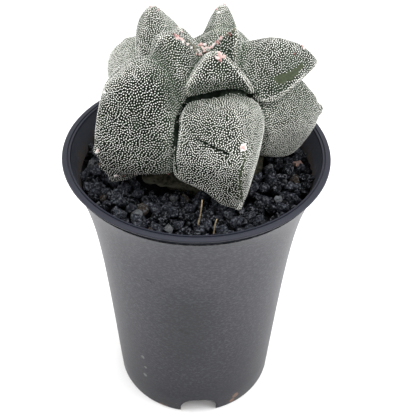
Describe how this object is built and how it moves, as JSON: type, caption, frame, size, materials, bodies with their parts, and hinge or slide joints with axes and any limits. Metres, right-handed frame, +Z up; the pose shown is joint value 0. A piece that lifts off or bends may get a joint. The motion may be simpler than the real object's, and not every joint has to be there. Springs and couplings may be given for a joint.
{
  "type": "potted cactus",
  "caption": "Potted bishop's cap cactus of the kikko form: white-flecked ribs cut into wedge-shaped tubercles, over black grit in a tall flared plastic nursery pot.",
  "frame": {"origin": "on the pot's axis, in the plane of its foot, which is the surface that it stands on", "axes": "+Z up along the pot's axis; -Y towards the viewer of the picture; +X to the viewer's right"},
  "size_m": [0.102, 0.102, 0.1745],
  "materials": {
    "pot_plastic": "matte dark grey polypropylene, scuffed, with dried soil inside the rim and at the foot",
    "potting_mix": "dry crumbly potting mix",
    "grit": "dull black volcanic grit with some grey and brown grains",
    "cactus_flesh": "dark green skin under dense white woolly flecks, felted areoles, corky base",
    "dry_stalk": "dry straw"
  },
  "bodies": {
    "root": {"pot": "pot_plastic", "potting_mix": "potting_mix", "grit": "grit", "cactus": "cactus_flesh", "dry_stalk_1": "dry_stalk", "dry_stalk_2": "dry_stalk"}
  },
  "joints": []
}
